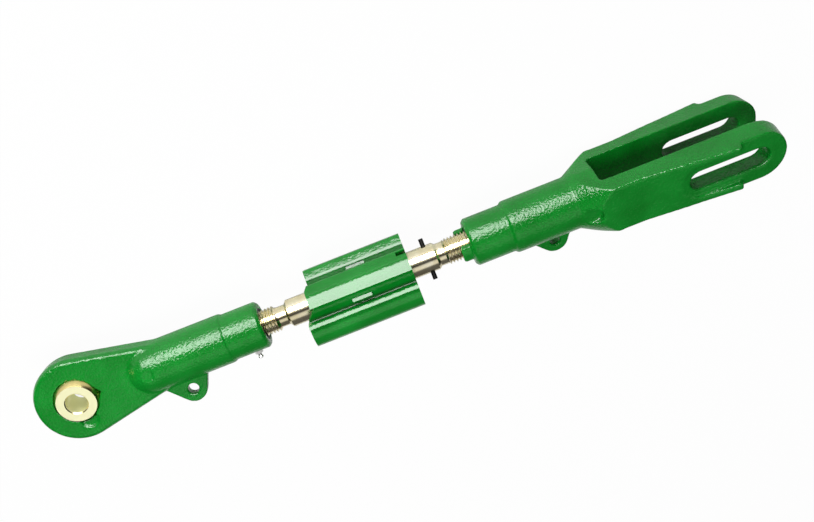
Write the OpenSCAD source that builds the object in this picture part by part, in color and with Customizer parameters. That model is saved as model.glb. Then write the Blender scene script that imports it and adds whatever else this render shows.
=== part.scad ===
// Levelling box of a three-point hitch: a lift link whose length is set by a
// double-ended screw. The eye casting holds a swivelling ball bush, the fork
// casting has slotted arms, and a loose sheet handle slides along the shaft.
// Origin: centre of the ball bush. +X runs along the screw towards the fork,
// +Z is normal to the fork arms, so the fork pin lies along Z.

/* [Ball bush] */
// Diameter of the pin hole through the ball bush
pin_hole_d = 22.4; // [19:0.1:26]
// Diameter of the ball
ball_d = 54; // [52:0.5:58]
// Width of the ball bush between its flat faces
ball_w = 34; // [32:0.5:38]
// Bevel at both mouths of the pin hole
ball_bevel = 1.2; // [0.5:0.1:2]
// Roll of the ball bush about the link, from the fork's own plane
ball_roll = -16; // [-20:1:0]
// Radial clearance between the ball and its seat
ball_gap = 0.25; // [0.2:0.05:0.5]

/* [Eye casting] */
// Radius of the round end of the eye plate
eye_r = 45.5; // [43:0.5:50]
// Thickness of the eye plate
eye_plate_t = 28; // [26:0.5:31]
// Radius of the rounded edges of the eye plate
eye_edge = 4; // [3:0.5:5]
// Distance from the ball centre to the tip of the barrel's nose
eye_nose_x = 61.5; // [56:0.5:66]
// Distance from the ball centre to where the plate's flanks reach the barrel's side
eye_flank_x = 91; // [86:1:100]
// Distance from the ball centre to the mouth of the barrel
eye_len = 212.4; // [205:0.1:235]
// Diameter of the barrel beside the plate
eye_barrel_d = 54.8; // [50:0.2:58]
// Diameter of the turned collar at the mouth
eye_collar_d = 51.4; // [46:0.2:54]
// Length of the turned collar at the mouth
eye_collar_len = 42.2; // [30:0.1:50]
// Roll of the eye casting about the link, from the fork's own plane
eye_roll = -24; // [-45:1:0]
// Distance from the ball centre to the corner cut into the seat's rim
seat_notch_x = 28; // [26:0.5:31]
// Depth of the corner cut, below the plate's face
seat_notch_depth = 7; // [5:0.5:9]
// Diameter of the scoop in the lower rim of the seat
scoop_d = 19; // [16:0.5:22]
// Distance of the scoop from the ball centre towards the fork
scoop_x = 3.4; // [0:0.1:6]
// Depth of the scoop
scoop_depth = 2.5; // [1.5:0.1:3.5]
// Distance from the ball centre to the flat round mark on the barrel's nose
mark_x = 83.3; // [78:0.1:90]
// Diameter of the flat round mark
mark_d = 13; // [10:0.5:14]
// Depth of the flat round mark at its middle
mark_depth = 1.6; // [1.5:0.1:3]

/* [Casting lugs] */
// Diameter of the hole in each lug
lug_hole_d = 12; // [9:0.5:14]
// Distance from the screw axis to the lug hole
lug_reach = 37.5; // [36:0.5:42]
// Radius of the lug's round end
lug_r = 15; // [13:0.5:17]
// Thickness of each lug
lug_t = 13; // [9:0.5:16]
// Distance from the ball centre to the eye casting's lug
eye_lug_x = 115.1; // [110:0.1:130]
// Reach of a lug's foot along the barrel, on its steep side
lug_foot_short = 22; // [20:1:26]
// Reach of a lug's foot along the barrel, on its long side
lug_foot_long = 31; // [26:1:34]
// Distance from the fork's mouth to the fork casting's lug
fork_lug_x = 91; // [80:1:95]

/* [Screw] */
// Outer diameter of the threads
thread_d = 28.6; // [26:0.1:29]
// Advance of the thread per turn
thread_pitch = 3.63; // [3:0.01:4]
// Diameter of the plain shaft between the threads
shaft_d = 30; // [29.5:0.1:32]
// Length of the plain shaft
shaft_len = 171.2; // [155:0.2:190]
// Length of the left-hand thread, at the eye
left_thread_len = 125; // [110:1:130]
// Length of the right-hand thread, at the fork
right_thread_len = 138; // [115:1:140]
// Left-hand thread that shows outside the eye casting
left_thread_out = 14.7; // [10:0.1:25]
// Right-hand thread that shows outside the fork casting
right_thread_out = 25.5; // [25:0.1:38]
// Length of the relief between the left-hand thread and the shaft
left_neck_len = 13; // [12:0.1:18]
// Length of the relief between the right-hand thread and the shaft
right_neck_len = 10.1; // [9:0.1:13]
// Diameter of the relief beside the left-hand thread
left_neck_d = 22.4; // [21:0.1:24]
// Diameter of the relief beside the right-hand thread
right_neck_d = 25; // [23:0.1:26]
// Length of the bevel at each end of the plain shaft
shaft_bevel = 3; // [2:0.5:4]
// Bevel at both ends of the screw
screw_end_bevel = 2.5; // [1:0.5:4]
// Whole turns of the screw from this length to its shortest length
turns_in = 6; // [4:1:6]
// Radial clearance between each thread and its tapped bore
thread_gap = 0.06; // [0.02:0.01:0.1]

/* [Spring pin] */
// Diameter of the spring pin
pin_d = 5; // [4:0.5:6]
// Length of the spring pin
pin_len = 46; // [42:1:50]
// Wall of the rolled spring pin
pin_wall = 1; // [0.6:0.1:1.5]
// Distance from the spring pin to the shaft's fork end
pin_inset = 10.8; // [8:0.1:14]
// Angle of the spring pin about the shaft, from the normal of the fork arms
pin_roll = 50; // [30:1:80]

/* [Handle] */
// Distance from the shaft's fork end to the end of the handle
handle_inset = 30.7; // [30:0.1:36]
// Length of the upper half of the handle
handle_len = 112.6; // [100:0.2:118]
// Extra length of the lower half at its eye end
handle_extra = 10; // [6:1:11]
// Distance from the handle's centre to the tip of each lobe
lobe_reach = 42; // [40:0.5:45]
// Outer radius of each lobe's tip
lobe_tip_r = 12; // [10:0.25:13]
// Distance from the handle's centre to the outer wall in each valley
valley_reach = 28; // [26:0.5:29]
// Outer bend radius of the sheet in each valley
valley_bend = 6; // [4:0.5:10]
// Thickness of the handle's sheet steel
sheet_t = 2.6; // [2:0.1:3]
// How far the loose handle hangs off the shaft's centre line
handle_drop = 3; // [1:0.1:3.4]
// Angle between the middle of a lobe and the seams of the two halves
seam_turn = 24; // [18:1:28]
// Roll of the handle about the shaft
handle_roll = 29; // [26:1:36]
// Length of the window in each valley
window_len = 23; // [15:1:30]
// Width of the window in each valley
window_w = 4; // [3:0.5:6]
// Gap between the shaft and the guide tabs that are bent in at the windows
tab_gap = 0.3; // [0.2:0.1:0.6]
// Depth of the notches at the handle's fork end, which take the lock lugs
notch_len = 11; // [8:0.5:14]
// Width of the notches at the handle's fork end
notch_w = 6.4; // [5:0.2:8]
// How far the slanting cut at the lower half's eye end runs along the handle
slant_len = 21; // [16:0.5:26]
// How far the slanting cut runs from the valley across the seam
slant_w = 11; // [9:0.5:12]

/* [Fork casting] */
// Length of the fork casting's barrel, from its mouth to the forked block
fork_barrel_len = 118; // [110:1:122]
// Diameter of the fork casting's barrel beside the block
fork_barrel_d = 58.4; // [56:0.2:60]
// Diameter of the turned collar at the fork casting's mouth
fork_collar_d = 53; // [50:0.5:54.5]
// Length of the turned collar at the fork casting's mouth
fork_collar_len = 46.4; // [30:0.2:55]
// Distance from where the barrel starts to widen to the start of the gap
blend_len = 29.8; // [26:0.2:34]
// How fast the cone widens between the barrel and the block
blend_slope = 0.55; // [0.5:0.01:0.7]
// Width of the gap between the two arms
fork_gap = 42; // [38:0.2:46]
// Thickness of each arm before its flanges flare out
arm_t = 18.6; // [17:0.2:20]
// Thickness of each arm at its slot
slot_arm_t = 22.2; // [21:0.2:23]
// Thickness of each arm across the tip of its flanges
tip_arm_t = 29.5; // [27:0.5:32]
// Half of the height of each arm at its inner face, and the radius of its round end
arm_end_r = 31; // [30:0.5:33]
// Wall between each slot and the arm's end
arm_end_wall = 21.5; // [19:0.5:23]
// Length of each pin slot, end to end
slot_len = 89; // [80:1:95]
// Width of each pin slot
slot_w = 22.4; // [19:0.1:26]
// Distance from the start of the gap to the pin slots
slot_start = 85.7; // [82:0.1:90]
// Distance from the start of the gap to where the flanges flare out
flare_start = 36.6; // [30:0.1:40]
// Distance from the start of the gap to the tips of the flanges
flange_len = 143; // [130:1:150]
// Width of the flat face between the two flanges of an arm
slot_face_w = 39; // [36:0.5:42]
// Corner radius at the closed end of the gap
gap_corner = 4.5; // [3:0.5:8]
// Distance from the link's middle plane to the floor of the hollow above each arm's root
hollow_floor = 31; // [30.5:0.5:33]
// Width of the hollow
hollow_w = 18; // [14:0.5:20]
// Distance from the hollow's round end to the start of the gap
hollow_inset = 7.3; // [4:0.1:10]
// Length of the lock lugs on the fork casting's mouth
lock_len = 11; // [9:0.5:12]
// Radius of the lock lugs
lock_r = 19.6; // [18:0.1:21]
// Half of the width of the lock lugs
lock_half_w = 9.4; // [8:0.1:10]
// Corner radius of the lock lugs
lock_corner = 3; // [1.5:0.5:4]

/* [Seals and grease fittings] */
// Depth of the seal groove inside each mouth
seal_depth = 5; // [4:0.5:7]
// Radial thickness of the seal ring
seal_t = 3.2; // [2.5:0.1:4]
// Width of the seal ring along the screw
seal_w = 3.6; // [3:0.1:4.5]
// Distance from each mouth to its grease fitting
fitting_inset = 17.7; // [14:0.5:24]
// Width across the flats of the grease fitting
fitting_flats = 8; // [7:0.5:9]
// Height of the grease fitting above the barrel
fitting_h = 10.5; // [8:0.5:12]

/* [Hidden] */
$fn = 96;

// A little more than nothing, so that cuts pass right through
over = 0.1;
// How far a rounding crosses the straight line that it runs into, so that no sliver is left
bite = 0.02;
thread_r = thread_d / 2;
bore_r = thread_r + thread_gap;
shaft_r = shaft_d / 2;
seat_r = ball_d / 2 + ball_gap;
travel_in = turns_in * thread_pitch;
// Half of the barrel's width where the eye plate's faces cut it
nose_reach = sqrt(pow(eye_barrel_d / 2, 2) - pow(eye_plate_t / 2, 2));

// Stations along the screw, from the eye to the fork
left_thread_end = eye_len + left_thread_out;
left_tip = left_thread_end - left_thread_len;
shaft_start = left_thread_end + left_neck_len;
shaft_end = shaft_start + shaft_len;
right_thread_start = shaft_end + right_neck_len;
right_tip = right_thread_start + right_thread_len;
fork_mouth = right_thread_start + right_thread_out;
block_start = fork_mouth + fork_barrel_len;
gap_start = block_start + blend_len;
slot_x0 = gap_start + slot_start;
slot_x1 = slot_x0 + slot_len;
arm_end_x = slot_x1 + arm_end_wall;
pin_x = shaft_end - pin_inset;
handle_x1 = shaft_end - handle_inset;
handle_x0 = handle_x1 - handle_len;
handle_mid = (handle_x0 + handle_x1) / 2;
eye_bore_end = left_tip - travel_in - 2;

// The fork's faces, as distances from the link's middle plane
gap_z = fork_gap / 2;
block_z = gap_z + arm_t;
slot_face_z = gap_z + slot_arm_t;
flange_z = gap_z + tip_arm_t;
// Draft of the cast sides of the fork, which splits at the middle plane
draft = 0.13;
root_half_h = arm_end_r + draft * gap_z;
outer_half_h = arm_end_r - draft * tip_arm_t;
flange_slant = 3;
// How far past the start of the gap the cone keeps widening
blend_over = 16;

// Turned ends of the castings: ramp at the collar's step and bevel at the mouth
collar_ramp = 1.2;
mouth_bevel = 3;
// Inner corners of a lug's foot lie this far from the axis, inside either barrel
lug_foot_y = 25;

// Shape of the handle's section: four lobes with a valley halfway between each two,
// the slope of a lobe's flank and the valley's half angle
valley_turn = 45;
flank = flank_angle(lobe_reach - lobe_tip_r, lobe_tip_r, valley_reach);
valley_half = valley_turn - flank;
// The tab nearest to where the handle hangs decides how far the tabs reach in
tab_reach = shaft_r + handle_drop * cos(valley_turn - pin_roll + handle_roll) + tab_gap;
fitting_seat = 1.2;
shank_d = fitting_flats * 0.75;

// Turns a profile of [x, radius] points into a solid round the X axis
module turned(points) {
    rotate([0, 90, 0])
        rotate_extrude()
            polygon([for (p = points) [p[1], p[0]]]);
}

// A cylinder along X between two stations
module rod(x0, x1, r) {
    translate([x0, 0, 0])
        rotate([0, 90, 0])
            cylinder(h = x1 - x0, r = r);
}

// Flat outline made solid, centred on the XY plane
module slab(t) {
    translate([0, 0, -t / 2])
        linear_extrude(height = t)
            children();
}

// Ball bush: a ball with two flat faces and a bevelled pin hole
module ball_bush() {
    color("khaki")
        rotate([ball_roll, 0, 0])
            difference() {
                intersection() {
                    sphere(d = ball_d, $fn = 128);
                    cube([ball_d + 2, ball_d + 2, ball_w], center = true);
                }
                cylinder(h = ball_w + 2, d = pin_hole_d, center = true);
                for (side = [0, 1])
                    mirror([0, 0, side])
                        translate([0, 0, ball_w / 2 - ball_bevel])
                            cylinder(h = ball_bevel + over, r1 = pin_hole_d / 2,
                                r2 = pin_hole_d / 2 + ball_bevel + over);
            }
}

// Side outline of the eye plate: its flanks run on until they vanish in the barrel
module eye_outline(inset) {
    r = eye_r - inset;
    side = eye_barrel_d / 2 - inset;
    tangent = atan2(side, eye_flank_x) + acos(r / norm([eye_flank_x, side]));
    slope = (side - r * sin(tangent)) / (eye_flank_x - r * cos(tangent));
    end_y = nose_reach - eye_edge - 1;
    end_x = eye_flank_x + (end_y - side) / slope;
    circle(r = r);
    polygon([
        [r * cos(tangent), r * sin(tangent)],
        [end_x, end_y],
        [end_x, -end_y],
        [r * cos(tangent), -r * sin(tangent)]
    ]);
}

// Where a lug's flank, from a foot at this distance along the barrel, touches its round end
function lug_touch(foot) =
    let (out = [foot, lug_reach - lug_foot_y], turn = atan2(out[1], out[0]) - acos(lug_r / norm(out)))
    [lug_r * cos(turn), lug_r * sin(turn) - lug_reach];

// Outline of a lug that hangs from a barrel on its -Y side, with its long foot at -X
module lug_outline() {
    near = lug_touch(lug_foot_short);
    far = lug_touch(lug_foot_long);
    difference() {
        union() {
            translate([0, -lug_reach])
                circle(r = lug_r);
            polygon([
                [lug_foot_short, -lug_foot_y],
                near,
                [-far[0], far[1]],
                [-lug_foot_long, -lug_foot_y],
                [-lug_foot_short, 0],
                [lug_foot_short, 0]
            ]);
        }
        translate([0, -lug_reach])
            circle(d = lug_hole_d);
    }
}

// Profile of a barrel end: beside the mouth it is turned down and bevelled
function mouth_profile(back, step, mouth, r_body, r_collar) =
    let (way = mouth > back ? 1 : -1)
    [
        [back, 0],
        [back, r_body],
        [step, r_body],
        [step + way * collar_ramp, r_collar],
        [mouth - way * mouth_bevel, r_collar],
        [mouth, r_collar - mouth_bevel],
        [mouth, 0]
    ];

// Eye casting: plate, barrel, lug, ball seat and tapped bore
module eye_casting() {
    color("seagreen")
        rotate([eye_roll, 0, 0])
            difference() {
                union() {
                    for (cut = [0, 0.6, 1])
                        slab(eye_plate_t - 2 * eye_edge * (1 - sqrt(1 - cut * cut)))
                            eye_outline(eye_edge * (1 - cut));
                    turned(mouth_profile(eye_nose_x + nose_reach, eye_len - eye_collar_len,
                        eye_len, eye_barrel_d / 2, eye_collar_d / 2));
                    translate([eye_nose_x + nose_reach, 0, 0])
                        sphere(d = eye_barrel_d);
                    translate([eye_lug_x, 0, 0])
                        slab(lug_t)
                            lug_outline();
                }
                sphere(r = seat_r, $fn = 128);
                seat_cuts();
                translate([mark_x, 0, eye_barrel_d / 2 - mark_depth])
                    cylinder(h = eye_edge, d = mark_d);
                rod(eye_bore_end, eye_len + over, bore_r);
                rod(eye_len - seal_depth, eye_len + over, thread_r + seal_t + 0.1);
                translate([eye_len - fitting_inset, 0, 0])
                    rotate([90, 0, 0])
                        fitting_hole(eye_collar_d / 2);
            }
}

// The corner and the scoop in the rim of the ball seat, on the plate's +Z face
module seat_cuts() {
    rim_r = sqrt(pow(seat_r, 2) - pow(eye_plate_t / 2, 2)) - 1.5;
    touch = acos(rim_r / seat_notch_x);
    translate([0, 0, eye_plate_t / 2 - seat_notch_depth])
        linear_extrude(height = eye_plate_t)
            polygon([
                [0, 0],
                [rim_r * cos(touch), -rim_r * sin(touch)],
                [seat_notch_x, 0],
                [rim_r * cos(touch), rim_r * sin(touch)]
            ]);
    translate([scoop_x, -rim_r - 2, eye_plate_t / 2 - scoop_depth])
        cylinder(h = eye_edge, d = scoop_d);
}

// Spot face and drilled hole for a grease fitting, along +Z into a barrel of radius r
module fitting_hole(r) {
    cylinder(h = r + over, d = shank_d + 0.1);
    translate([0, 0, r - fitting_seat])
        cylinder(h = fitting_h, d = fitting_flats / cos(30) + 1);
}

// Grease fitting: shank, hexagon, neck and rounded nipple, along +Z from zero
module grease_fitting(r) {
    neck = fitting_flats * 0.28;
    tip = fitting_flats * 0.36;
    hex_h = fitting_h * 0.4;
    translate([0, 0, bore_r + 3])
        cylinder(h = r - bore_r - 3, d = shank_d);
    translate([0, 0, r])
        cylinder(h = hex_h, d = fitting_flats / cos(30), $fn = 6);
    translate([0, 0, r])
        rotate_extrude($fn = 48)
            polygon([
                [0, 0],
                [fitting_flats / 2, 0],
                [fitting_flats / 2 - 0.2, hex_h],
                [neck, hex_h + 1],
                [neck, fitting_h * 0.68],
                [tip, fitting_h * 0.8],
                [tip, fitting_h * 0.9],
                [tip * 0.5, fitting_h],
                [0, fitting_h]
            ]);
}

// Grease fitting on the lug side of the eye casting's collar
module eye_grease_fitting() {
    color("silver")
        rotate([eye_roll, 0, 0])
            translate([eye_len - fitting_inset, 0, 0])
                rotate([90, 0, 0])
                    grease_fitting(eye_collar_d / 2 - fitting_seat);
}

// Grease fitting on the side of the fork casting's collar away from its lug
module fork_grease_fitting() {
    color("silver")
        translate([fork_mouth + fitting_inset, 0, 0])
            rotate([180, 0, 0])
                grease_fitting(fork_collar_d / 2 - fitting_seat);
}

// Rubber ring that seals one end of the screw
module seal_ring(x0) {
    color("dimgray")
        difference() {
            rod(x0, x0 + seal_w, thread_r + seal_t);
            rod(x0 - over, x0 + seal_w + over, bore_r);
        }
}

// Seal ring in the eye casting's mouth
module eye_seal_ring() {
    seal_ring(eye_len - 0.5 - seal_w);
}

// Seal ring in the fork casting's mouth
module fork_seal_ring() {
    seal_ring(fork_mouth + 0.5);
}

// Screw: left-hand and right-hand threads with a plain shaft between them
module screw() {
    color("gold")
        difference() {
            turned([
                [left_tip, 0],
                [left_tip, thread_r - screw_end_bevel],
                [left_tip + screw_end_bevel, thread_r],
                [left_thread_end, thread_r],
                [left_thread_end + 2, left_neck_d / 2],
                [shaft_start - 1, left_neck_d / 2],
                [shaft_start - 1 + shaft_bevel, shaft_r],
                [shaft_end - shaft_bevel + 1, shaft_r],
                [shaft_end + 1, right_neck_d / 2],
                [right_thread_start - 2, right_neck_d / 2],
                [right_thread_start, thread_r],
                [right_tip - screw_end_bevel, thread_r],
                [right_tip, thread_r - screw_end_bevel],
                [right_tip, 0]
            ]);
            pin_bore(pin_d / 2 + 0.02, shaft_d);
        }
}

// The line of the spring pin, as a cylinder of any radius
module pin_bore(r, h) {
    translate([pin_x, 0, 0])
        rotate([pin_roll, 0, 0])
            cylinder(h = h + 2, r = r, center = true);
}

// Spring pin: a rolled tube with a slit along it
module spring_pin() {
    color("black")
        translate([pin_x, 0, 0])
            rotate([pin_roll, 0, 0])
                difference() {
                    cylinder(h = pin_len, d = pin_d, center = true);
                    cylinder(h = pin_len + 2, d = pin_d - 2 * pin_wall, center = true);
                    translate([0, -pin_wall / 2, -pin_len / 2 - 1])
                        cube([pin_d, pin_wall, pin_len + 2]);
                }
}

// Slope of the line from the valley, on the diagonal, that touches a lobe's tip
function flank_angle(tip_x, tip_r, valley) =
    let (dx = tip_x - valley * cos(valley_turn), dy = -valley * sin(valley_turn))
    atan2(dy, dx) + asin(tip_r / norm([dx, dy]));

// Star outline of the handle, inset from its outer skin
module star(inset) {
    tip_r = lobe_tip_r - inset;
    bend = valley_bend + inset;
    valley = valley_reach - inset / sin(valley_half);
    corner = [valley * cos(valley_turn), valley * sin(valley_turn)];
    bend_centre = corner * (1 + bend / sin(valley_half) / valley);
    run = bend / tan(valley_half);
    touch = tip_r - bite;
    for (turn = [0 : 90 : 270])
        rotate(turn) {
            translate([lobe_reach - lobe_tip_r, 0])
                circle(r = tip_r);
            polygon([
                [0, 0],
                [corner[0], -corner[1]],
                [lobe_reach - lobe_tip_r - touch * sin(flank), -touch * cos(flank)],
                [lobe_reach - lobe_tip_r - touch * sin(flank), touch * cos(flank)],
                corner
            ]);
            difference() {
                polygon([
                    [0, 0],
                    corner + run * [cos(flank), sin(flank)],
                    bend_centre,
                    corner + run * [sin(flank), cos(flank)]
                ]);
                translate(bend_centre)
                    circle(r = bend + bite);
            }
        }
}

// One half of the handle's section: the sheet on one side of the seams
module half_section(turn) {
    intersection() {
        difference() {
            star(0);
            star(sheet_t);
        }
        rotate(turn)
            translate([0, -lobe_reach - 1])
                square(2 * lobe_reach + 2);
    }
}

// Puts the handle where it hangs about the shaft
module hung() {
    translate([0, -handle_drop * sin(pin_roll), handle_drop * cos(pin_roll)])
        rotate([handle_roll, 0, 0])
            children();
}

// One half of the handle, with windows, guide tabs and end notches in its valleys
module handle_half(x0, side) {
    difference() {
        translate([x0, 0, 0])
            rotate([0, 90, 0])
                linear_extrude(height = handle_x1 - x0)
                    half_section(seam_turn + side);
        for (valley = [-valley_turn, valley_turn])
            rotate([valley + side, 0, 0]) {
                translate([handle_mid - window_len / 2, -window_w / 2, -lobe_reach])
                    cube([window_len, window_w, lobe_reach]);
                translate([handle_x1 - notch_len, -notch_w / 2, -lobe_reach])
                    cube([2 * notch_len, notch_w, lobe_reach]);
            }
    }
    for (valley = [-valley_turn, valley_turn])
        rotate([valley + side, 0, 0])
            guide_tab();
}

// Tab bent in from the edge of a window, which keeps the handle off the shaft
module guide_tab() {
    translate([handle_mid - window_len / 2 + 1, window_w / 2, 0.5 - valley_reach])
        cube([window_len - 2, sheet_t, valley_reach - tab_reach - 0.5]);
}

// Upper half of the handle
module handle_upper_half() {
    color("seagreen")
        hung()
            handle_half(handle_x0, 0);
}

// Lower half of the handle: longer at the eye end, and cut slantwise from seam to valley there
module handle_lower_half() {
    x0 = handle_x0 - handle_extra;
    valley_z = valley_reach * cos(valley_turn) + 1;
    color("seagreen")
        hung()
            difference() {
                handle_half(x0, 180);
                translate([0, lobe_reach + 1, 0])
                    rotate([90, 0, 0])
                        linear_extrude(height = lobe_reach - shaft_r + handle_drop)
                            polygon([
                                [x0 - 1, valley_z - slant_w],
                                [x0 + slant_len, valley_z - slant_w],
                                [x0, valley_z],
                                [x0 - 1, valley_z]
                            ]);
            }
}

// The fork's top and bottom faces, seen from the side: they flare out to the flange tips
module fork_profile() {
    upper = [
        [block_start, block_z],
        [gap_start + flare_start, block_z],
        [gap_start + flange_len - flange_slant, flange_z],
        [gap_start + flange_len, slot_face_z],
        [arm_end_x + 1, slot_face_z]
    ];
    count = len(upper);
    lower = [for (i = [1 : count]) [upper[count - i][0], -upper[count - i][1]]];
    translate([0, arm_end_r + gap_z, 0])
        rotate([90, 0, 0])
            linear_extrude(height = 2 * (arm_end_r + gap_z))
                polygon(concat(upper, lower));
}

// The arms' drafted sides and round ends, as thick as the flanges reach
module drafted_arms() {
    end_centre = arm_end_x - arm_end_r;
    translate([block_start, 0, 0])
        rotate([90, 0, 90])
            linear_extrude(height = end_centre - block_start)
                polygon([
                    [root_half_h, 0],
                    [outer_half_h, flange_z],
                    [-outer_half_h, flange_z],
                    [-root_half_h, 0],
                    [-outer_half_h, -flange_z],
                    [outer_half_h, -flange_z]
                ]);
    for (side = [0, 1])
        mirror([0, 0, side])
            translate([end_centre, 0, 0])
                cylinder(h = flange_z, r1 = root_half_h, r2 = outer_half_h);
}

// A slot with round ends between two stations
module slot_outline(x0, x1, w) {
    translate([x0 + w / 2, -w / 2])
        square([x1 - x0 - w, w]);
    for (x = [x0 + w / 2, x1 - w / 2])
        translate([x, 0])
            circle(d = w);
}

// Cuts the flat face round a slot, and the hollow above the arm's root, on the +Z side
module arm_cuts() {
    translate([0, 0, slot_face_z])
        linear_extrude(height = flange_z)
            slot_outline(slot_x0 + slot_w / 2 - slot_face_w / 2, arm_end_x + slot_face_w, slot_face_w);
    translate([0, 0, hollow_floor])
        linear_extrude(height = flange_z)
            slot_outline(block_start - hollow_w, gap_start - hollow_inset, hollow_w);
}

// Outline of the lock lugs, rounded at their tips
module lock_outline() {
    tip = fork_mouth - lock_len + lock_corner;
    translate([tip, -lock_half_w])
        square([lock_len - lock_corner + over, 2 * lock_half_w]);
    translate([tip - lock_corner, lock_corner - lock_half_w])
        square([lock_corner + over, 2 * (lock_half_w - lock_corner)]);
    for (side = [-1, 1])
        translate([tip, side * (lock_half_w - lock_corner)])
            circle(r = lock_corner);
}

// Fork casting: barrel, blend, two slotted arms, flanges, lug and lock lugs
module fork_casting() {
    color("seagreen")
        difference() {
            union() {
                intersection() {
                    fork_profile();
                    drafted_arms();
                    union() {
                        turned([
                            [block_start, 0],
                            [block_start, fork_barrel_d / 2],
                            [gap_start + blend_over,
                                fork_barrel_d / 2 + (blend_len + blend_over) * blend_slope],
                            [gap_start + blend_over, 0]
                        ]);
                        translate([gap_start + blend_over - 1, -2 * arm_end_r, -2 * flange_z])
                            cube([arm_end_x, 4 * arm_end_r, 4 * flange_z]);
                    }
                }
                turned(mouth_profile(gap_start, fork_mouth + fork_collar_len, fork_mouth,
                    fork_barrel_d / 2, fork_collar_d / 2));
                translate([fork_mouth + fork_lug_x, 0, 0])
                    slab(lug_t)
                        lug_outline();
                intersection() {
                    rod(fork_mouth - lock_len, fork_mouth + over, lock_r);
                    slab(2 * lock_r)
                        lock_outline();
                }
            }
            fork_opening();
            slab(2 * flange_z + 2)
                slot_outline(slot_x0, slot_x1, slot_w);
            for (side = [0, 1])
                mirror([0, 0, side])
                    arm_cuts();
            rod(fork_mouth - lock_len - over, gap_start + gap_corner + 1, bore_r);
            rod(fork_mouth - over, fork_mouth + seal_depth, thread_r + seal_t + 0.1);
            translate([fork_mouth + fitting_inset, 0, 0])
                rotate([180, 0, 0])
                    fitting_hole(fork_collar_d / 2);
        }
}

// The gap between the fork arms, with rounded inner corners
module fork_opening() {
    rotate([90, 0, 0])
        linear_extrude(height = 4 * arm_end_r, center = true) {
            translate([gap_start + gap_corner, -fork_gap / 2])
                square([arm_end_x, fork_gap]);
            translate([gap_start, -fork_gap / 2 + gap_corner])
                square([gap_corner + 1, fork_gap - 2 * gap_corner]);
            for (side = [-1, 1])
                translate([gap_start + gap_corner, side * (fork_gap / 2 - gap_corner)])
                    circle(r = gap_corner);
        }
}

eye_casting();
ball_bush();
eye_grease_fitting();
eye_seal_ring();
screw();
spring_pin();
handle_upper_half();
handle_lower_half();
fork_seal_ring();
fork_casting();
fork_grease_fitting();
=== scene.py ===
"""Looks of an adjustable lift link for a three-point hitch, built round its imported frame.

The frame is in metres: the origin is the centre of the ball bush, +X runs along the
screw to the fork, and +Z is normal to the fork's arms.
"""
import math

import bmesh
import bpy
import numpy as np
from mathutils import Matrix, Vector


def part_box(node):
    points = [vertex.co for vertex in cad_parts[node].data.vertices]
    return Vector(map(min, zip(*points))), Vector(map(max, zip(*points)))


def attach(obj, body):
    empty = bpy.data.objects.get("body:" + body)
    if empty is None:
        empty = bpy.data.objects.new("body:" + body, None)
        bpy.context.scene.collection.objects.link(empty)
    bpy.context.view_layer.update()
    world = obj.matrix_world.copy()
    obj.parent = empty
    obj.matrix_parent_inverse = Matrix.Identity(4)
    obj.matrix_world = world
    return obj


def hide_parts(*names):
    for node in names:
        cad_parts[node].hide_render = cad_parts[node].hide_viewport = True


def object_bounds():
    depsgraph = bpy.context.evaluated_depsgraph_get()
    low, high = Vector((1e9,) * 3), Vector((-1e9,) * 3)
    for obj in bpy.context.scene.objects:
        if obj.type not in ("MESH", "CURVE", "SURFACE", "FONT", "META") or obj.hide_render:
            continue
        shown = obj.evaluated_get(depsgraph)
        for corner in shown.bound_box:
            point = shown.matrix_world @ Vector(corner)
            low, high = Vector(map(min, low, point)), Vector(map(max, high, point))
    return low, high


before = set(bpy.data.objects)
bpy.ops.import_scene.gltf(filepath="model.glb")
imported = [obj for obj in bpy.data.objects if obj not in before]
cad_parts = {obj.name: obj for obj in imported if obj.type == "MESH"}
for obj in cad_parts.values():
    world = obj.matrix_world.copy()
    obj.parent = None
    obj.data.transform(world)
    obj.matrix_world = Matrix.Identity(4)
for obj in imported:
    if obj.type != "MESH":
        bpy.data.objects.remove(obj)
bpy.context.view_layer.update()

MM = 0.001

# Driving sizes of the threads and of the fork's lock lugs, in millimetres
THREAD_D = 28.6
THREAD_PITCH = 3.63
THREAD_DEPTH = 2.1
LOCK_LUG_LEN = 11

# Camera, in millimetres, degrees and pixels of the photograph's frame. VIEW_ROLL is the
# angle about the link from +Z to the line to the camera
VIEW_ROLL = 40
PHOTO_W = 814
CAMERA_DISTANCE = 950
CAMERA_STATION = 378.9
CAMERA_RISE = 6.1
CAMERA_LEAN = 21.45
FOCAL_PX = 888
SENSOR_MM = 36
CAMERA_REACH_M = 20

# Directions of the photograph's view: towards the camera, above the link and along it
lean = math.radians(CAMERA_LEAN)
tilt = math.radians(VIEW_ROLL)
towards = Vector((0, math.sin(tilt), math.cos(tilt)))
above = Vector((0, math.cos(tilt), -math.sin(tilt)))
along = Vector((1, 0, 0))

# Stations where the screw comes out of the castings
EYE_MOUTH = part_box("eye_casting")[1].x / MM
FORK_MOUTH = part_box("fork_casting")[0].x / MM + LOCK_LUG_LEN


# Helpers for meshes

def link(name, data):
    """Makes an object of a mesh, a lamp or a camera and links it to the scene."""
    obj = bpy.data.objects.new(name, data)
    bpy.context.scene.collection.objects.link(obj)
    return obj


def mesh_object(name, points_mm, faces):
    """Makes an object from points in millimetres and faces."""
    mesh = bpy.data.meshes.new(name)
    mesh.from_pydata([[c * MM for c in p] for p in points_mm], [], faces)
    mesh.validate()
    return link(name, mesh)


def shade(obj, sharp_deg):
    """Shades an object smooth, with sharp edges where faces meet at an angle."""
    for face in obj.data.polygons:
        face.use_smooth = True
    obj.data.set_sharp_from_angle(angle=math.radians(sharp_deg))


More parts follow.
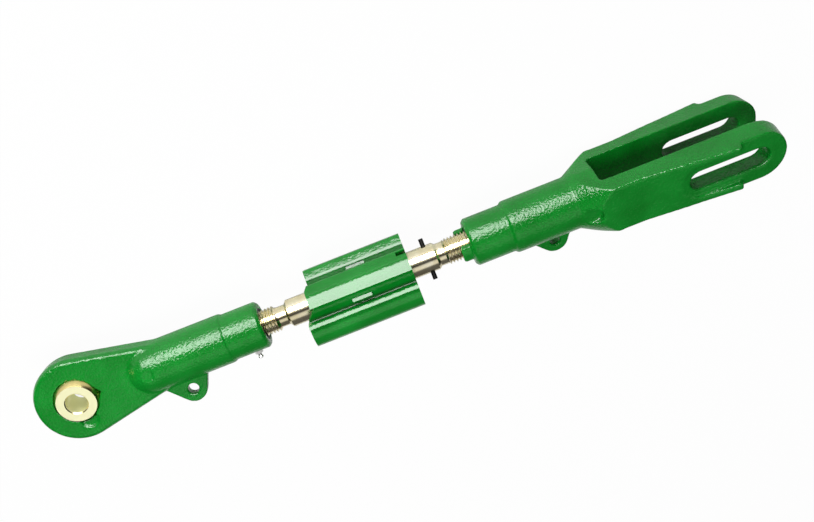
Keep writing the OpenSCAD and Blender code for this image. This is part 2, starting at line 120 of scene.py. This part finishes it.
def dress(obj, body, slot, material, *nodes):
    """Gives a piece its material, its body and the nodes that it replaces; the slot argument is
    not used.
    """
    obj.data.materials.clear()
    obj.data.materials.append(material)
    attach(obj, body)
    if nodes:
        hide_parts(*nodes)


def ring_lattice(name, stations, radius, segments):
    """Makes a closed solid round X: radius gives each ring's radii at its angles."""
    angles = np.arange(segments) * 2 * math.pi / segments
    rings = []
    for x in stations:
        r = radius(x, angles)
        rings.append(np.stack([np.full(segments, x), r * np.cos(angles), r * np.sin(angles)], 1))
    points = np.concatenate(rings)
    count = len(stations)
    faces = [
        (i * segments + j, (i + 1) * segments + j,
         (i + 1) * segments + (j + 1) % segments, i * segments + (j + 1) % segments)
        for i in range(count - 1) for j in range(segments)
    ]
    faces.append(tuple(range(segments)))
    faces.append(tuple((count - 1) * segments + j for j in reversed(range(segments))))
    return mesh_object(name, points.tolist(), faces)


def remeshed_copy(node, name, voxel_mm):
    """Copies a node's mesh and rebuilds it in even cells, ready to be relaxed."""
    obj = link(name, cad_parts[node].data.copy())
    remesh = obj.modifiers.new("remesh", "REMESH")
    remesh.mode = "VOXEL"
    remesh.voxel_size = voxel_mm * MM
    graph = bpy.context.evaluated_depsgraph_get()
    mesh = bpy.data.meshes.new_from_object(obj.evaluated_get(graph))
    obj.modifiers.clear()
    obj.data = mesh
    return obj


def relax(obj, rounds, weight):
    """Evens out a mesh: weight gives how far each point may follow its neighbours."""
    mesh = obj.data
    count = len(mesh.vertices)
    points = np.empty(count * 3)
    mesh.vertices.foreach_get("co", points)
    points = points.reshape(-1, 3)
    edges = np.empty(len(mesh.edges) * 2, np.int64)
    mesh.edges.foreach_get("vertices", edges)
    a, b = edges.reshape(-1, 2).T
    degree = np.bincount(a, minlength=count) + np.bincount(b, minlength=count)
    share = weight(points / MM)[:, None]
    for _ in range(rounds):
        near = np.stack([
            np.bincount(a, points[b, k], count) + np.bincount(b, points[a, k], count)
            for k in range(3)
        ], 1) / degree[:, None]
        points += share * (near - points)
    mesh.vertices.foreach_set("co", points.ravel())
    mesh.update()


# Materials

def new_material(name):
    """Makes a node material and gives it, its nodes, its links and its shader."""
    material = bpy.data.materials.new(name)
    material.use_nodes = True
    nodes = material.node_tree.nodes
    return material, nodes, material.node_tree.links, nodes["Principled BSDF"]


def noise(nodes, links, scale, detail):
    """Adds a noise texture in the object's own coordinates."""
    place = nodes.new("ShaderNodeTexCoord")
    texture = nodes.new("ShaderNodeTexNoise")
    texture.inputs["Scale"].default_value = scale
    texture.inputs["Detail"].default_value = detail
    links.new(place.outputs["Object"], texture.inputs["Vector"])
    return texture


def math_node(nodes, links, operation, *values):
    """Adds a math node, with sockets or numbers as its inputs, and gives its output."""
    node = nodes.new("ShaderNodeMath")
    node.operation = operation
    for socket, value in zip(node.inputs, values):
        if isinstance(value, (int, float)):
            socket.default_value = value
        else:
            links.new(value, socket)
    return node.outputs[0]


def share_along(nodes, links, coordinate, direction):
    """Adds a node that says how far a texture coordinate points along a direction."""
    place = nodes.new("ShaderNodeTexCoord")
    node = nodes.new("ShaderNodeVectorMath")
    node.operation = "DOT_PRODUCT"
    node.inputs[1].default_value = direction
    links.new(place.outputs[coordinate], node.inputs[0])
    return node.outputs["Value"]


def ramp(nodes, links, source, low, high, low_colour, high_colour):
    """Adds a ramp between two values of a source, from one colour to another."""
    node = nodes.new("ShaderNodeValToRGB")
    first, last = node.color_ramp.elements
    first.position, last.position = low, high
    first.color, last.color = (*low_colour, 1), (*high_colour, 1)
    links.new(source, node.inputs["Fac"])
    return node


def bump(nodes, links, source, shader, distance_mm, strength=1.0, under=None):
    """Adds a bump of a real depth, over another one if given."""
    node = nodes.new("ShaderNodeBump")
    node.inputs["Distance"].default_value = distance_mm * MM
    node.inputs["Strength"].default_value = strength
    links.new(source, node.inputs["Height"])
    if under:
        links.new(under.outputs["Normal"], node.inputs["Normal"])
    links.new(node.outputs["Normal"], shader.inputs["Normal"])
    return node


GREEN_DEEP = (0.001, 0.19, 0.012)
GREEN_LIGHT = (0.004, 0.255, 0.022)
# Values of the noise between which the tint goes from deep to light
TINT_RANGE = (0.3, 0.7)
PAINT_ROUGHNESS = 0.35
PAINT_SPECULAR = 0.05
# How fine the noise is in the paint's tint, its dents and its grain
TINT_SCALE = 28
DENT_SCALE = 130
GRAIN_SCALE = 400


def green_paint(name, grain_mm, dents_mm, coat, coat_roughness):
    """Gloss green paint: fine grain and wider dents have their depths in millimetres."""
    material, nodes, links, shader = new_material(name)
    patches = noise(nodes, links, TINT_SCALE, 3)
    colour = ramp(nodes, links, patches.outputs["Fac"], *TINT_RANGE, GREEN_DEEP, GREEN_LIGHT)
    links.new(colour.outputs["Color"], shader.inputs["Base Color"])
    shader.inputs["Roughness"].default_value = PAINT_ROUGHNESS
    shader.inputs["Specular IOR Level"].default_value = PAINT_SPECULAR
    shader.inputs["Coat Weight"].default_value = coat
    shader.inputs["Coat Roughness"].default_value = coat_roughness
    grain = noise(nodes, links, GRAIN_SCALE, 2)
    dents = noise(nodes, links, DENT_SCALE, 2)
    under = bump(nodes, links, dents.outputs["Fac"], shader, dents_mm)
    over = bump(nodes, links, grain.outputs["Fac"], shader, grain_mm, under=under)
    links.new(over.outputs["Normal"], shader.inputs["Coat Normal"])
    return material


PLATING_SCALE = 60
PLATING_RANGE = (0.35, 0.65)
RING_DEPTH_MM = 0.01
RING_STRENGTH = 0.6
RING_DISTORTION = 1.5


def plated_metal(name, low_colour, high_colour, roughness, ring_scale):
    """Plated turned metal, with fine tool rings and patches of tint."""
    material, nodes, links, shader = new_material(name)
    patches = noise(nodes, links, PLATING_SCALE, 3)
    colour = ramp(nodes, links, patches.outputs["Fac"], *PLATING_RANGE, low_colour, high_colour)
    links.new(colour.outputs["Color"], shader.inputs["Base Color"])
    shader.inputs["Metallic"].default_value = 1.0
    shader.inputs["Roughness"].default_value = roughness
    place = nodes.new("ShaderNodeTexCoord")
    rings = nodes.new("ShaderNodeTexWave")
    rings.bands_direction = "X"
    rings.inputs["Scale"].default_value = ring_scale
    rings.inputs["Distortion"].default_value = RING_DISTORTION
    links.new(place.outputs["Object"], rings.inputs["Vector"])
    bump(nodes, links, rings.outputs["Fac"], shader, RING_DEPTH_MM, RING_STRENGTH)
    return material


cast_green = green_paint(
    "cast_green", grain_mm=0.62, dents_mm=0.1, coat=0.65, coat_roughness=0.09)
sheet_green = green_paint(
    "sheet_green", grain_mm=0.12, dents_mm=0.1, coat=0.75, coat_roughness=0.06)
screw_zinc = plated_metal(
    "screw_zinc", low_colour=(0.72, 0.63, 0.38), high_colour=(0.86, 0.8, 0.6),
    roughness=0.18, ring_scale=900)
ball_zinc = plated_metal(
    "ball_zinc", low_colour=(0.5, 0.4, 0.14), high_colour=(0.72, 0.6, 0.26),
    roughness=0.2, ring_scale=700)
fitting_steel = plated_metal(
    "fitting_steel", low_colour=(0.7, 0.7, 0.68), high_colour=(0.85, 0.85, 0.82),
    roughness=0.25, ring_scale=900)
pin_black = plated_metal(
    "pin_black", low_colour=(0.002, 0.002, 0.002), high_colour=(0.006, 0.006, 0.006),
    roughness=0.5, ring_scale=600)

# The pin is oxide black, without the shine of metal
PIN_SPECULAR = 0.1
pin_shader = pin_black.node_tree.nodes["Principled BSDF"]
pin_shader.inputs["Metallic"].default_value = 0.0
pin_shader.inputs["Specular IOR Level"].default_value = PIN_SPECULAR

# Painted reflection on the bush: its flat faces and bore are painted paler and made less metallic
# than its sphere, so that they look brightly lit.
# A mask finds the faces by their direction and the bore by its distance from the bush's axis
BALL_AXIS = (0, 0.275637, 0.961262)
BORE_R = 11.1
BORE_MARGIN = 0.4
# Share of the face's direction at which the mask starts and is full
MASK_EDGE = (0.97, 0.99)
# Metallic and colour that paint the reflection onto the bush's faces and bore
PAINTED_SHEEN_METALLIC = 0.45
PAINTED_SHEEN_COLOUR = (1.0, 0.98, 0.6, 1)
nodes, links = ball_zinc.node_tree.nodes, ball_zinc.node_tree.links
ball_shader = nodes["Principled BSDF"]
facing = share_along(nodes, links, "Normal", BALL_AXIS)
flat = math_node(nodes, links, "ABSOLUTE", facing)
place = nodes.new("ShaderNodeTexCoord")
spoke = nodes.new("ShaderNodeVectorMath")
spoke.operation = "CROSS_PRODUCT"
spoke.inputs[1].default_value = BALL_AXIS
links.new(place.outputs["Object"], spoke.inputs[0])
reach = nodes.new("ShaderNodeVectorMath")
reach.operation = "LENGTH"
links.new(spoke.outputs["Vector"], reach.inputs[0])
bore_reach = (BORE_R + BORE_MARGIN) * MM
bore = math_node(nodes, links, "LESS_THAN", reach.outputs["Value"], bore_reach)
mask = math_node(nodes, links, "MAXIMUM", flat, bore)
# Painted reflection: less metal and a paler colour where the mask is full
metal = ramp(nodes, links, mask, *MASK_EDGE, (1, 1, 1), (PAINTED_SHEEN_METALLIC,) * 3)
links.new(metal.outputs["Color"], ball_shader.inputs["Metallic"])
painted_sheen = ramp(nodes, links, mask, *MASK_EDGE, (0, 0, 0), (1, 1, 1))
tint = nodes.new("ShaderNodeMix")
tint.data_type = "RGBA"
links.new(painted_sheen.outputs["Color"], tint.inputs["Factor"])
links.new(ball_shader.inputs["Base Color"].links[0].from_socket, tint.inputs["A"])
tint.inputs["B"].default_value = PAINTED_SHEEN_COLOUR
links.new(tint.outputs["Result"], ball_shader.inputs["Base Color"])

RUBBER_COLOUR = (0.015, 0.015, 0.015, 1)
RUBBER_ROUGHNESS = 0.7
seal_rubber, _, _, rubber_shader = new_material("seal_rubber")
rubber_shader.inputs["Base Color"].default_value = RUBBER_COLOUR
rubber_shader.inputs["Roughness"].default_value = RUBBER_ROUGHNESS


# Screw: one lattice, whose radius follows the turned profile and both threads

screw_low, screw_high = (corner.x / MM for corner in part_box("screw"))
# Thread that shows outside each mouth, and the necks between the threads and the shaft
LEFT_THREAD_OUT = 14.7
RIGHT_THREAD_OUT = 25.5
LEFT_NECK_LEN = 13
RIGHT_NECK_LEN = 10.1
LEFT_THREAD_END = EYE_MOUTH + LEFT_THREAD_OUT
RIGHT_THREAD_START = FORK_MOUTH - RIGHT_THREAD_OUT
SHAFT_START = LEFT_THREAD_END + LEFT_NECK_LEN
SHAFT_END = RIGHT_THREAD_START - RIGHT_NECK_LEN
LEFT_NECK_R = 11.2
RIGHT_NECK_R = 12.5
# Slopes from the threads down to the necks
LEFT_RUNOUT = 3
RIGHT_RUNOUT = 2
SHAFT_R = 15
SHAFT_BEVEL = 3
# The shaft's bevels reach this far past its ends, into the necks
BEVEL_SHIFT = 1
END_BEVEL = 2.5
THREAD_R = THREAD_D / 2
# Shares of half a pitch that the root and the flank take
ROOT_SHARE = 0.2
FLANK_SHARE = 0.65
RINGS_PER_PITCH = 14
SCREW_SEGMENTS = 72

screw_profile = [
    (screw_low, THREAD_R - END_BEVEL),
    (screw_low + END_BEVEL, THREAD_R),
    (LEFT_THREAD_END, THREAD_R),
    (LEFT_THREAD_END + LEFT_RUNOUT, LEFT_NECK_R),
    (SHAFT_START - BEVEL_SHIFT, LEFT_NECK_R),
    (SHAFT_START - BEVEL_SHIFT + SHAFT_BEVEL, SHAFT_R),
    (SHAFT_END + BEVEL_SHIFT - SHAFT_BEVEL, SHAFT_R),
    (SHAFT_END + BEVEL_SHIFT, RIGHT_NECK_R),
    (RIGHT_THREAD_START - RIGHT_RUNOUT, RIGHT_NECK_R),
    (RIGHT_THREAD_START, THREAD_R),
    (screw_high - END_BEVEL, THREAD_R),
    (screw_high, THREAD_R - END_BEVEL),
]


def screw_radius(x, angles):
    """Radius of the screw at a station: the smaller of its profile and its threads."""
    turned = np.interp(x, *zip(*screw_profile))
    if LEFT_THREAD_END < x < RIGHT_THREAD_START:
        return np.full(len(angles), turned)
    hand = -1 if x <= LEFT_THREAD_END else 1
    phase = (x / THREAD_PITCH - hand * angles / (2 * math.pi)) % 1.0
    height = np.clip((np.abs(phase - 0.5) * 2 - ROOT_SHARE) / FLANK_SHARE, 0, 1)
    return np.minimum(turned, THREAD_R - THREAD_DEPTH + THREAD_DEPTH * height)


def screw_stations():
    """Stations of the screw's rings: dense in the threads, few on the shaft."""
    step = THREAD_PITCH / RINGS_PER_PITCH
    left = list(np.arange(screw_low, LEFT_THREAD_END, step))
    right = list(np.arange(RIGHT_THREAD_START, screw_high, step)) + [screw_high]
    middle = [p[0] for p in screw_profile if LEFT_THREAD_END <= p[0] < RIGHT_THREAD_START]
    return left + middle + right


screw = ring_lattice("screw_threaded", screw_stations(), screw_radius, SCREW_SEGMENTS)
shade(screw, sharp_deg=30)
dress(screw, "screw", "screw_zinc", screw_zinc, "screw")


# Castings: soft copies of the frame's solids, with crisp machined ends

CAST_VOXEL = 1.0
RELAX_ROUNDS = 12
# Share by which points follow their neighbours in a round: on cast skin, and on what
# stays crisper
SOFT = 0.5
SOFT_HOLLOWS = 0.2
CRISP_COLLAR = 0.08
CRISP_MARK = 0.06
CRISP_SEAT = 0.05
# Turned collars behind the mouths, and the seat's reach from the ball's centre
EYE_COLLAR_LEN = 42
FORK_COLLAR_LEN = 46
SEAT_REACH = 31
# Round mark on the barrel's nose, and the fork's hollows
MARK_X = 83.3
MARK_UP = -13.5
MARK_REACH = 9
HOLLOWS_START = 555
HOLLOWS_END = 605


def cast_piece(node, name, weight):
    """Soft-edged copy of a casting."""
    obj = remeshed_copy(node, name, CAST_VOXEL)
    relax(obj, RELAX_ROUNDS, weight)
    shade(obj, sharp_deg=50)
    return obj


def eye_weight(points):
    """The eye casting is soft all over but for its turned collar, round mark and seat."""
    radius = np.linalg.norm(points, axis=1)
    soft = np.where(points[:, 0] > EYE_MOUTH - EYE_COLLAR_LEN, CRISP_COLLAR, SOFT)
    mark = np.hypot(points[:, 0] - MARK_X, points @ np.array(above) - MARK_UP) < MARK_REACH
    soft = np.where(mark & (points @ np.array(towards) > 0), CRISP_MARK, soft)
    return np.where(radius < SEAT_REACH, CRISP_SEAT, soft)


def fork_weight(points):
    """The fork casting is soft all over but for its turned collar and its hollows."""
    soft = np.where(points[:, 0] < FORK_MOUTH + FORK_COLLAR_LEN, CRISP_COLLAR, SOFT)
    hollows = (points[:, 0] > HOLLOWS_START) & (points[:, 0] < HOLLOWS_END)
    return np.where(hollows, SOFT_HOLLOWS, soft)


eye = cast_piece("eye_casting", "eye_casting_cast", eye_weight)
dress(eye, "eye_end", "casting_paint", cast_green, "eye_casting")
fork = cast_piece("fork_casting", "fork_casting_cast", fork_weight)
dress(fork, "fork_end", "casting_paint", cast_green, "fork_casting")


# Handle: two halves of bent sheet, swept along the link from one section

# How far the handle hangs below the link's axis, by its play on the shaft
HANDLE_DROP = 3
SHEET_T = 2.6
SHEET_COLUMNS = 64
PATH_STEP = 1.2
# Steps of a bend in each radian
BEND_STEPS = 10
# Skin of the upper half from the near seam, over the top, to the far seam: distances
# towards the camera and above the handle's centre, and the radius of the bend there.
# The lower half is the same skin turned half round
UPPER_SKIN = (
    (39.8, -1, 0), (38.2, 12, 25), (29, 23.6, 4), (11.5, 21, 1.2), (13, 28.5, 8), (9, 39.5, 5),
    (-33, 42, 20), (-31, 14.3, 7), (-19, 15.2, 1.2), (-39.8, 1, 0),
)
# Stations and heights of the windows' edges, and how near the camera their sheet lies
WINDOW_X = (315, 337)
WINDOW_UP = (23.6, 27)
WINDOW_NEAR = 5
LOWER_WINDOW_X = (311.5, 333)
LOWER_WINDOW_UP = (-9.6, -6.8)
LOWER_WINDOW_NEAR = 25
# Notch in the upper half at the fork's end
NOTCH_DEPTH = 11
NOTCH_UP = (17, 21.5)
NOTCH_NEAR = 20
# Eye end: the top lobe starts later, and the lower half sooner, on a slant at the near seam
TOP_SETBACK = 3.5
TOP_SETBACK_UP = 18
TOP_SETBACK_RISE = 5
LOWER_EXTRA = 8.5
SLANT_LEN = 12.5
SLANT_UP = -14
SLANT_RISE = 12
SLANT_NEAR = 20
# Tabs: where each starts and ends in the section
UPPER_TAB = ((11.6, 22.8), (11.2, 27.6))
LOWER_TAB = ((31, -10.4), (30, -5.2))
TAB_T = 1.6


def rounded_path(corners):
    """Samples a path of straight stretches, with a bend at each corner between them."""
    points = []
    for i, (a, b, radius) in enumerate(corners):
        here = Vector((a, b))
        if radius == 0:
            points.append(here)
            continue
        before = (Vector(corners[i - 1][:2]) - here).normalized()
        after = (Vector(corners[i + 1][:2]) - here).normalized()
        half = before.angle(after) / 2
        centre = here + (before + after).normalized() * radius / math.sin(half)
        start = here + before * radius / math.tan(half) - centre
        swing = start.angle_signed(here + after * radius / math.tan(half) - centre)
        steps = max(3, round(abs(swing) * BEND_STEPS))
        for k in range(steps + 1):
            turn = Matrix.Rotation(-swing * k / steps, 2)
            points.append(centre + turn @ start)
    fine = []
    for p, q in zip(points, points[1:]):
        parts = max(1, round((q - p).length / PATH_STEP))
        fine += [p.lerp(q, k / parts) for k in range(parts)]
    return fine + [points[-1]]


def path_normals(path):
    """Outward unit normals of a path that runs from the near seam over the top."""
    normals = []
    for i in range(len(path)):
        way = path[min(i + 1, len(path) - 1)] - path[max(i - 1, 0)]
        normals.append(Vector((way.y, -way.x)).normalized())
    return normals


def handle_point(x, spot):
    """Puts a spot of the handle's section at a station of the link, in millimetres."""
    return x * along + spot.x * towards + (spot.y - HANDLE_DROP) * above


def sheet_half(name, path, start, end, kept):
    """Solid sheet along a path: start gives its eye end at each point, kept its cells."""
    columns = SHEET_COLUMNS
    normals = path_normals(path)
    grid = {}
    points = []
    for layer in (0, 1):
        for j, (spot, normal) in enumerate(zip(path, normals)):
            for i in range(columns + 1):
                x = start(spot) + (end - start(spot)) * i / columns
                grid[layer, i, j] = len(points)
                points.append(tuple(handle_point(x, spot - normal * SHEET_T * layer)))
    cells = set()
    for j in range(len(path) - 1):
        half_cell = (end - start(path[j])) / columns / 2
        middle = (path[j] + path[j + 1]) / 2
        for i in range(columns):
            if kept(points[grid[0, i, j]][0] + half_cell, middle):
                cells.add((i, j))
    faces = []
    for i, j in cells:
        outer = [grid[0, i, j], grid[0, i + 1, j], grid[0, i + 1, j + 1], grid[0, i, j + 1]]
        inner = [grid[1, i, j], grid[1, i + 1, j], grid[1, i + 1, j + 1], grid[1, i, j + 1]]
        faces += [outer[::-1], inner]
        for k, near in enumerate(((i, j - 1), (i + 1, j), (i, j + 1), (i - 1, j))):
            if near not in cells:
                m = (k + 1) % 4
                faces.append([outer[k], outer[m], inner[m], inner[k]])
    obj = mesh_object(name, points, faces)
    mesh = bmesh.new()
    mesh.from_mesh(obj.data)
    loose = [v for v in mesh.verts if not v.link_faces]
    bmesh.ops.delete(mesh, geom=loose, context="VERTS")
    bmesh.ops.recalc_face_normals(mesh, faces=mesh.faces)
    mesh.to_mesh(obj.data)
    mesh.free()
    shade(obj, sharp_deg=40)
    return obj


upper_path = rounded_path(UPPER_SKIN)
lower_path = [-spot for spot in upper_path]
handle_low, handle_high = (corner.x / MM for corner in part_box("handle_upper_half"))


def upper_kept(x, spot):
    """The upper half lacks a window low on its top lobe and a notch at the fork end."""
    window = (WINDOW_X[0] < x < WINDOW_X[1] and WINDOW_UP[0] < spot.y < WINDOW_UP[1]
              and spot.x > WINDOW_NEAR)
    notch = (x > handle_high - NOTCH_DEPTH and NOTCH_UP[0] < spot.y < NOTCH_UP[1]
             and spot.x > NOTCH_NEAR)
    return not (window or notch)


def lower_kept(x, spot):
    """The lower half lacks a window below the near seam."""
    return not (LOWER_WINDOW_X[0] < x < LOWER_WINDOW_X[1]
                and LOWER_WINDOW_UP[0] < spot.y < LOWER_WINDOW_UP[1]
                and spot.x > LOWER_WINDOW_NEAR)


def upper_start(spot):
    """The upper half's eye end: drawn back a little over the top lobe."""
    share = min(max((spot.y - TOP_SETBACK_UP) / TOP_SETBACK_RISE, 0), 1)
    return handle_low + share * TOP_SETBACK


def lower_start(spot):
    """The lower half's eye end: cut slantwise from the near seam down to the valley."""
    share = min(max((spot.y - SLANT_UP) / SLANT_RISE, 0), 1) if spot.x > SLANT_NEAR else 0
    return handle_low - LOWER_EXTRA + share * SLANT_LEN


upper_half = sheet_half("handle_upper_sheet", upper_path, upper_start, handle_high, upper_kept)
dress(upper_half, "handle", "handle_paint", sheet_green, "handle_upper_half")
lower_half = sheet_half("handle_lower_sheet", lower_path, lower_start, handle_high, lower_kept)
dress(lower_half, "handle", "handle_paint", sheet_green, "handle_lower_half")


def guide_tab(name, x_range, spots):
    """Tab bent in from a window: a thin plate between two spots of the section."""
    low, high = (Vector(spot) for spot in spots)
    back = (high - low).normalized()
    inward = Vector((-back.y, back.x)) * TAB_T
    corners = [low, high, high + inward, low + inward]
    points = [tuple(handle_point(x, spot)) for x in x_range for spot in corners]
    faces = [(3, 2, 1, 0), (4, 5, 6, 7)]
    faces += [(k, (k + 1) % 4, (k + 1) % 4 + 4, k + 4) for k in range(4)]
    tab = mesh_object(name, points, faces)
    dress(tab, "handle", "handle_paint", sheet_green)


guide_tab("handle_upper_tab", WINDOW_X, UPPER_TAB)
guide_tab("handle_lower_tab", LOWER_WINDOW_X, LOWER_TAB)


# Pieces that keep the frame's own solids

for node, material in {
    "ball_bush": ball_zinc,
    "eye_grease_fitting": fitting_steel,
    "fork_grease_fitting": fitting_steel,
    "eye_seal_ring": seal_rubber,
    "fork_seal_ring": seal_rubber,
    "spring_pin": pin_black,
}.items():
    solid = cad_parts[node]
    solid.data.materials.clear()
    solid.data.materials.append(material)


# Camera at the photograph's viewing angle

right = math.cos(lean) * along - math.sin(lean) * above
up = math.sin(lean) * along + math.cos(lean) * above
target = (CAMERA_STATION * along + CAMERA_RISE * above) * MM
camera_data = bpy.data.cameras.new("camera")
camera = link("camera", camera_data)
camera_data.sensor_width = SENSOR_MM
camera_data.lens = FOCAL_PX / PHOTO_W * SENSOR_MM
camera_data.clip_end = CAMERA_REACH_M
turn = Matrix((right, up, towards)).transposed().to_4x4()
camera.matrix_world = Matrix.Translation(target + towards * CAMERA_DISTANCE * MM) @ turn
bpy.context.scene.camera = camera


# Floor, lamps and world

def share_of_white(nodes, links, seen, mirrored):
    """Gives how white a ray finds the floor: one share for seen rays, one for mirrored ones."""
    path = nodes.new("ShaderNodeLightPath")
    shares = (("Is Glossy Ray", mirrored), ("Is Transmission Ray", seen), ("Is Camera Ray", seen))
    total = 0
    for name, share in shares:
        total = math_node(nodes, links, "MULTIPLY_ADD", path.outputs[name], share, total)
    return total


# Half the floor's side and its gap below the link in metres, how white it is to the eye
# and in gloss, and its matt paint
FLOOR_HALF = 6.0
FLOOR_GAP = 0.0005
FLOOR_GLOW = 0.97
FLOOR_MIRRORED = 0.12
FLOOR_COLOUR = (0.9, 0.9, 0.9, 1)
FLOOR_ROUGHNESS = 0.9
floor_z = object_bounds()[0].z - FLOOR_GAP
floor_mesh = bpy.data.meshes.new("floor")
floor_mesh.from_pydata(
    [(x * FLOOR_HALF, y * FLOOR_HALF, floor_z) for x, y in ((-1, -1), (1, -1), (1, 1), (-1, 1))],
    [], [(0, 1, 2, 3)])
floor = link("floor", floor_mesh)
floor_white, nodes, links, floor_shader = new_material("floor_white")
floor_shader.inputs["Base Color"].default_value = FLOOR_COLOUR
floor_shader.inputs["Roughness"].default_value = FLOOR_ROUGHNESS
glow = nodes.new("ShaderNodeEmission")
mix = nodes.new("ShaderNodeMixShader")
links.new(share_of_white(nodes, links, FLOOR_GLOW, FLOOR_MIRRORED), mix.inputs["Fac"])
links.new(floor_shader.outputs["BSDF"], mix.inputs[1])
links.new(glow.outputs["Emission"], mix.inputs[2])
links.new(mix.outputs["Shader"], nodes["Material Output"].inputs["Surface"])
floor_mesh.materials.append(floor_white)


# Angle above the line to the camera in degrees, distance from the link, station along it,
# length and height in metres, power in watts, and whether the lamp lights matt surfaces
# and shows in gloss
LAMPS = {
    "overhead": (-32, 1.6, 0, 1.2, 1.0, 20, True, False),
    "softbox": (25, 1.5, 0.1, 1.6, 0.85, 66, False, True),
    "top": (44, 1.5, 0, 1.2, 0.4, 13, True, False),
}


def strip_lamp(name, angle, distance, station, length, height, power, lights, mirrors):
    """Long soft lamp that faces the link, at an angle above the line to the camera."""
    data = bpy.data.lights.new(name, "AREA")
    data.shape = "RECTANGLE"
    data.size = length
    data.size_y = height
    data.energy = power
    lamp = link(name, data)
    turned = math.radians(angle)
    away = math.cos(turned) * towards + math.sin(turned) * above
    across = away.cross(along)
    pose = Matrix((along, across, away)).transposed().to_4x4()
    lamp.matrix_world = Matrix.Translation(station * along + away * distance) @ pose
    lamp.visible_diffuse = lights
    lamp.visible_glossy = mirrors


for name, values in LAMPS.items():
    strip_lamp(name, *values)


# World: white behind the link. What gloss mirrors has a dark band below the softbox

WORLD_LIGHT = 0.2
# Mirrored light by how far a ray runs along the link: level at 0, its slope, and its least
ENDWISE_LEVEL = 1.4
ENDWISE_SLOPE = -1.7
ENDWISE_LEAST = 0.05
# Angles above the line to the camera, in degrees, and how bright gloss sees the world there
MIRRORED = (
    (-180, 0.12), (-90, 0.12), (-70, 0.15), (-60, 0.9), (-40, 0.9), (-30, 0.6),
    (-26, 0.02), (-6, 0.02), (0, 0.5), (45, 0.5), (49, 0.06), (180, 0.06),
)

world = bpy.data.worlds.new("studio")
bpy.context.scene.world = world
world.use_nodes = True
nodes, links = world.node_tree.nodes, world.node_tree.links

# The angle of a ray above the line to the camera, as a part of a full turn
rise = share_along(nodes, links, "Generated", above)
nearness = share_along(nodes, links, "Generated", towards)
angle = math_node(nodes, links, "ARCTAN2", rise, nearness)
part = math_node(nodes, links, "MULTIPLY_ADD", angle, 1 / (2 * math.pi), 0.5)
band = nodes.new("ShaderNodeValToRGB")
while len(band.color_ramp.elements) < len(MIRRORED):
    band.color_ramp.elements.new(0.5)
for stop, (degrees, level) in zip(band.color_ramp.elements, MIRRORED):
    stop.position = degrees / 360 + 0.5
    stop.color = (level, level, level, 1)
links.new(part, band.inputs["Fac"])

# Past the ends of the link the studio is dark
endwise = math_node(
    nodes, links, "ABSOLUTE", share_along(nodes, links, "Generated", along))
sideways = math_node(nodes, links, "MULTIPLY_ADD", endwise, ENDWISE_SLOPE, ENDWISE_LEVEL)
sideways = math_node(nodes, links, "MAXIMUM", sideways, ENDWISE_LEAST)
sideways = math_node(nodes, links, "MINIMUM", sideways, 1)

# Gloss sees the bands, matt surfaces an even light, and the camera plain white
rays = nodes.new("ShaderNodeLightPath")
glossy = rays.outputs["Is Glossy Ray"]
mirrored = math_node(nodes, links, "MULTIPLY", glossy, band.outputs["Color"])
mirrored = math_node(nodes, links, "MULTIPLY", mirrored, sideways)
matt = math_node(nodes, links, "MULTIPLY_ADD", glossy, -WORLD_LIGHT, WORLD_LIGHT)
lit = math_node(nodes, links, "ADD", mirrored, matt)
seen = math_node(nodes, links, "MAXIMUM", rays.outputs["Is Camera Ray"],
                 rays.outputs["Is Transmission Ray"])
level = math_node(nodes, links, "MAXIMUM", seen, lit)
sky = nodes["Background"]
sky.inputs["Color"].default_value = (1, 1, 1, 1)
links.new(level, sky.inputs["Strength"])

bpy.context.scene.view_settings.view_transform = "Standard"
